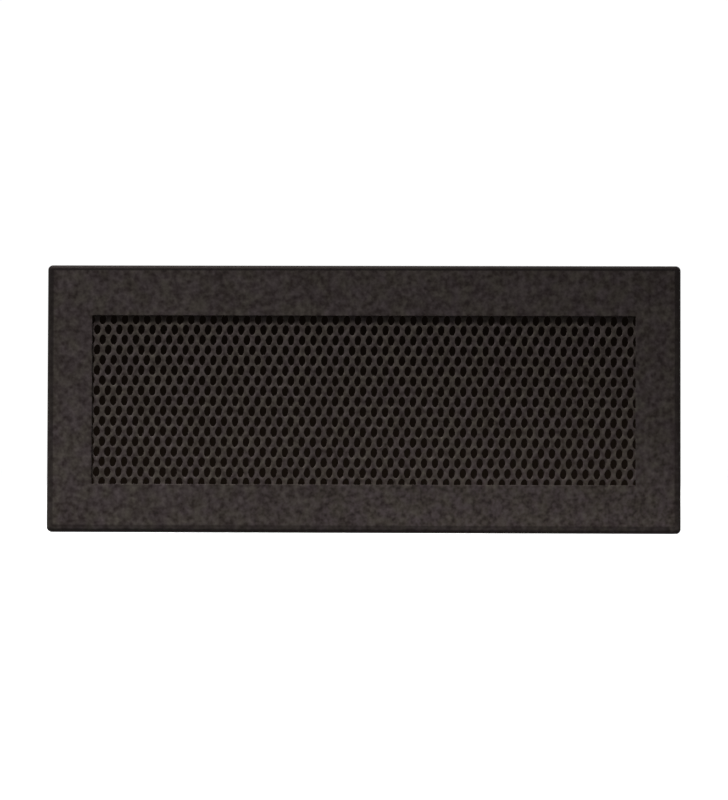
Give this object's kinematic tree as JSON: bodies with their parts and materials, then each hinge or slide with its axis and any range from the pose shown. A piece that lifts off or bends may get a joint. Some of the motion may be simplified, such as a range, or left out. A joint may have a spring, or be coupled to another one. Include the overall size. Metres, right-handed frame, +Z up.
{
  "type": "fireplace vent grille",
  "caption": "Rectangular vent grille: a folded sheet frame with an expanded metal panel behind its window, and a rear collar with leaf springs that holds it in a wall opening.",
  "frame": {"origin": "middle of the frame's rear edge, in the plane of the wall that the frame rests on", "axes": "+X to the right as seen from the front, +Y into the wall, +Z up; the front faces -Y"},
  "size_m": [0.38, 0.032, 0.1604],
  "materials": {
    "graphite_coat": "matt textured powder coat, graphite",
    "graphite_coat_mesh": "matt textured powder coat, graphite, on expanded metal",
    "spring_steel": "bright rolled spring strip",
    "rivet_metal": "plain rivet"
  },
  "bodies": {
    "root": {"front_frame": "graphite_coat", "mesh_panel": "graphite_coat_mesh", "rear_collar": "graphite_coat", "clip_left_upper": "spring_steel", "clip_left_lower": "spring_steel", "clip_right_upper": "spring_steel", "clip_right_lower": "spring_steel", "clip_rivets": "rivet_metal"}
  },
  "joints": []
}
